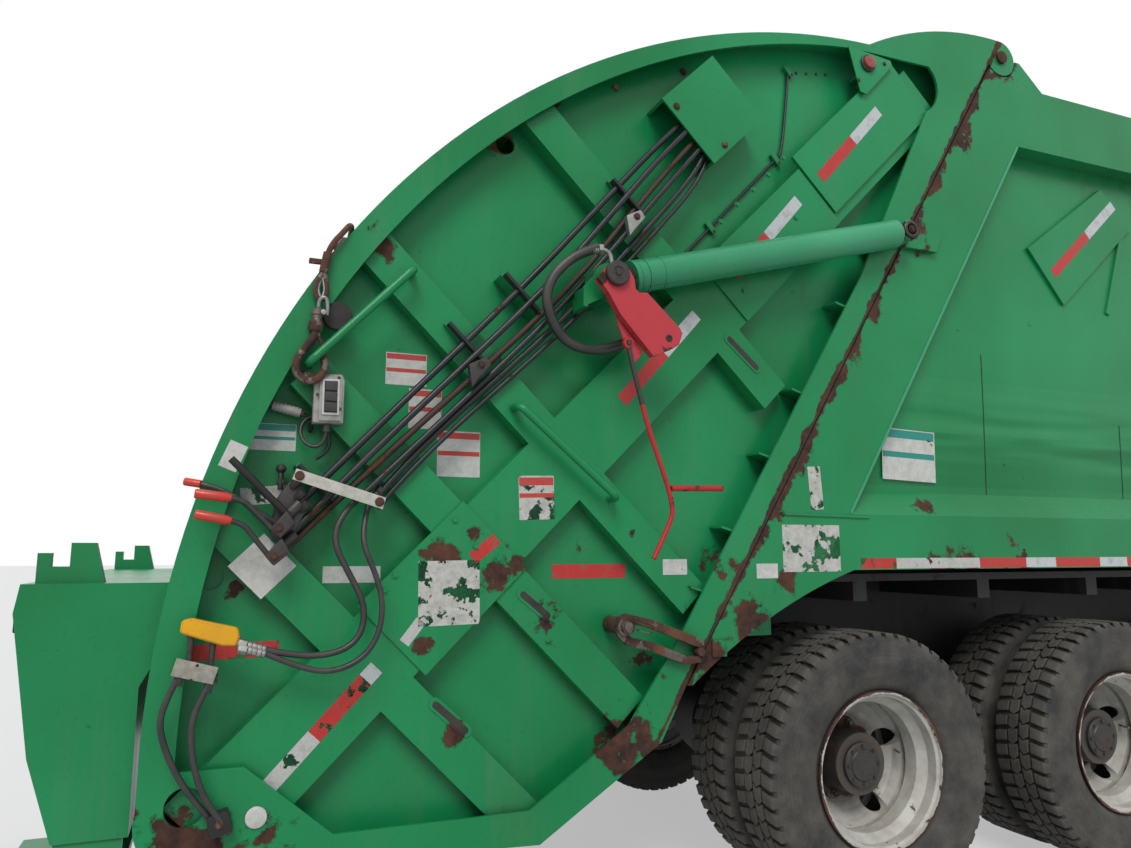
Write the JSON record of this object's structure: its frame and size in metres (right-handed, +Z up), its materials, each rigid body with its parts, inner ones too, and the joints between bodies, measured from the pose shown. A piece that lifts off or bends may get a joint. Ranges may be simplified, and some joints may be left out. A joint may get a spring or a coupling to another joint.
{
  "type": "rear-loading garbage truck",
  "caption": "Rear-loading refuse truck: low-entry cab, closed body, rounded lifting tailgate with hopper, packer blade and lift cylinders on a three-axle chassis.",
  "frame": {"origin": "on the ground under the middle of the truck's length, on its centreline", "axes": "+X towards the cab, +Y to the truck's left, +Z up"},
  "size_m": [10.18, 2.84, 3.7884],
  "materials": {
    "green_paint": "worn gloss",
    "black_paint": "satin",
    "white_paint": "dirty satin",
    "red_paint": "worn",
    "bare_steel": "dull",
    "hard_chrome": "polished",
    "cast_iron": "greasy",
    "alloy": "dull",
    "tyre": "matt",
    "glass": "clear",
    "trim": "matt",
    "lamp": "gloss",
    "upholstery": "matt"
  },
  "bodies": {
    "chassis": {"chassis_frame": "black_paint", "front_axle": "black_paint", "rear_bogie": "black_paint", "driveline": "black_paint", "engine_block": "cast_iron", "bumper": "black_paint", "headlamps": "glass", "tow_eyes": "bare_steel", "fuel_tank": "alloy", "side_boxes": "black_paint", "exhaust_stack": "bare_steel", "entry_steps": "black_paint", "body_floor": "green_paint", "body_side_left": "green_paint", "body_side_right": "green_paint", "body_roof_and_front": "green_paint", "body_bolster": "green_paint"},
    "ejector": {"ejector_panel": "green_paint"},
    "tailgate": {"tailgate_side_left": "green_paint", "tailgate_side_right": "green_paint", "tailgate_roof": "green_paint", "hopper_trough": "bare_steel", "hopper_sill": "bare_steel", "tail_lamps": "lamp", "pipe_run": "green_paint", "control_levers": "red_paint", "tailgate_latches": "bare_steel", "winch_hook": "bare_steel"},
    "carriage": {"packer_carriage": "green_paint"},
    "blade": {"packer_blade": "bare_steel"},
    "sweep_barrels": {"sweep_barrels": "black_paint"},
    "sweep_rods": {"sweep_rods": "hard_chrome"},
    "lift_barrels": {"lift_barrels": "green_paint"},
    "lift_rods": {"lift_rods": "hard_chrome"},
    "prop": {"safety_prop": "red_paint"},
    "prop_handle": {"prop_handle": "bare_steel"},
    "cab": {"cab_shell": "green_paint", "cab_glass": "glass", "cab_interior": "upholstery", "mirrors": "black_paint"},
    "door_left": {"door_left": "green_paint", "door_glass_left": "glass"},
    "door_right": {"door_right": "green_paint", "door_glass_right": "glass"},
    "steering_wheel": {"steering_wheel": "trim"},
    "knuckle_left": {"axle1_left_knuckle": "black_paint"},
    "knuckle_right": {"axle1_right_knuckle": "black_paint"},
    "wheel1_left": {"axle1_left_tyre": "tyre", "axle1_left_wheel": "white_paint"},
    "wheel1_right": {"axle1_right_tyre": "tyre", "axle1_right_wheel": "white_paint"},
    "wheels2_left": {"axle2_left_tyres": "tyre", "axle2_left_wheels": "white_paint"},
    "wheels2_right": {"axle2_right_tyres": "tyre", "axle2_right_wheels": "white_paint"},
    "wheels3_left": {"axle3_left_tyres": "tyre", "axle3_left_wheels": "white_paint"},
    "wheels3_right": {"axle3_right_tyres": "tyre", "axle3_right_wheels": "white_paint"}
  },
  "joints": [
    {"name": "tailgate_lift", "type": "hinge", "parent": "chassis", "child": "tailgate", "pos_m": [-1.198, 0, 3.7], "axis": [0, 1, 0], "range_deg": [0, 55]},
    {"name": "lift_barrel_turn", "type": "hinge", "parent": "chassis", "child": "lift_barrels", "pos_m": [-1.923, 0, 2.697], "axis": [0, 1, 0], "range_deg": [0, 65.51]},
    {"name": "lift_rod_slide", "type": "slide", "parent": "lift_barrels", "child": "lift_rods", "axis": [-0.9638, 0, -0.2665], "range_m": [0, 1.0888]},
    {"name": "carriage_slide", "type": "slide", "parent": "tailgate", "child": "carriage", "axis": [-0.7071, 0, -0.7071], "range_m": [0, 0.69]},
    {"name": "blade_swing", "type": "hinge", "parent": "carriage", "child": "blade", "pos_m": [-3.36132, 0, 1.74372], "axis": [0, 1, 0], "range_deg": [0, 100]},
    {"name": "sweep_barrel_turn", "type": "hinge", "parent": "carriage", "child": "sweep_barrels", "pos_m": [-2.59411, 0, 2.67357], "axis": [0, 1, 0], "range_deg": [-0.02, 4.08]},
    {"name": "sweep_rod_slide", "type": "slide", "parent": "sweep_barrels", "child": "sweep_rods", "axis": [-0.7145, 0, -0.6996], "range_m": [-0.3899, 0.001]},
    {"name": "prop_swing", "type": "hinge", "parent": "tailgate", "child": "prop", "pos_m": [-3.326, -1.292, 2.309], "axis": [0, -1, 0], "range_deg": [0, 47]},
    {"name": "prop_handle_swing", "type": "hinge", "parent": "prop", "child": "prop_handle", "pos_m": [-3.291, -1.292, 2.062], "axis": [0, -1, 0], "range_deg": [0, 30]},
    {"name": "ejector_slide", "type": "slide", "parent": "chassis", "child": "ejector", "axis": [-1, 0, 0], "range_m": [0, 3.8]},
    {"name": "cab_tilt", "type": "hinge", "parent": "chassis", "child": "cab", "pos_m": [4.89, 0, 0.86], "axis": [0, 1, 0], "range_deg": [0, 45]},
    {"name": "door_left_swing", "type": "hinge", "parent": "cab", "child": "door_left", "pos_m": [4.85, 1.1, 1.6], "axis": [0, 0, -1], "range_deg": [0, 70]},
    {"name": "door_right_swing", "type": "hinge", "parent": "cab", "child": "door_right", "pos_m": [4.85, -1.1, 1.6], "axis": [0, 0, 1], "range_deg": [0, 70]},
    {"name": "steer_right", "type": "hinge", "parent": "chassis", "child": "knuckle_right", "pos_m": [3.47, -0.845, 0.52], "axis": [0, 0, 1], "range_deg": [-35, 35]},
    {"name": "steer_left", "type": "hinge", "parent": "chassis", "child": "knuckle_left", "pos_m": [3.47, 0.845, 0.52], "axis": [0, 0, 1], "range_deg": [-35.05, 35.05]},
    {"name": "steering_wheel_turn", "type": "hinge", "parent": "cab", "child": "steering_wheel", "pos_m": [4.535, 0.7, 1.605], "axis": [-0.7071, 0, 0.7071], "range_deg": [-631, 631]},
    {"name": "wheel1_left_spin", "type": "hinge", "parent": "knuckle_left", "child": "wheel1_left", "pos_m": [3.47, 1.01, 0.52], "axis": [0, 1, 0], "continuous": true},
    {"name": "wheels2_left_spin", "type": "hinge", "parent": "chassis", "child": "wheels2_left", "pos_m": [-0.805, 0.915, 0.52], "axis": [0, 1, 0], "continuous": true},
    {"name": "wheels3_left_spin", "type": "hinge", "parent": "chassis", "child": "wheels3_left", "pos_m": [-2.155, 0.915, 0.52], "axis": [0, 1, 0], "continuous": true},
    {"name": "wheel1_right_spin", "type": "hinge", "parent": "knuckle_right", "child": "wheel1_right", "pos_m": [3.47, -1.01, 0.52], "axis": [0, 1, 0], "continuous": true},
    {"name": "wheels2_right_spin", "type": "hinge", "parent": "chassis", "child": "wheels2_right", "pos_m": [-0.805, -0.915, 0.52], "axis": [0, 1, 0], "continuous": true},
    {"name": "wheels3_right_spin", "type": "hinge", "parent": "chassis", "child": "wheels3_right", "pos_m": [-2.155, -0.915, 0.52], "axis": [0, 1, 0], "continuous": true}
  ],
  "couplings": [
    {"joint": "lift_barrel_turn", "follows": "tailgate_lift", "ratio": 1.1901},
    {"joint": "lift_rod_slide", "follows": "tailgate_lift", "m_per_rad": 1.1332},
    {"joint": "sweep_barrel_turn", "follows": "blade_swing", "ratio": 0.040559},
    {"joint": "sweep_rod_slide", "follows": "blade_swing", "m_per_rad": -0.22285},
    {"joint": "steer_left", "follows": "steer_right", "ratio": 1},
    {"joint": "steering_wheel_turn", "follows": "steer_right", "ratio": 18}
  ]
}
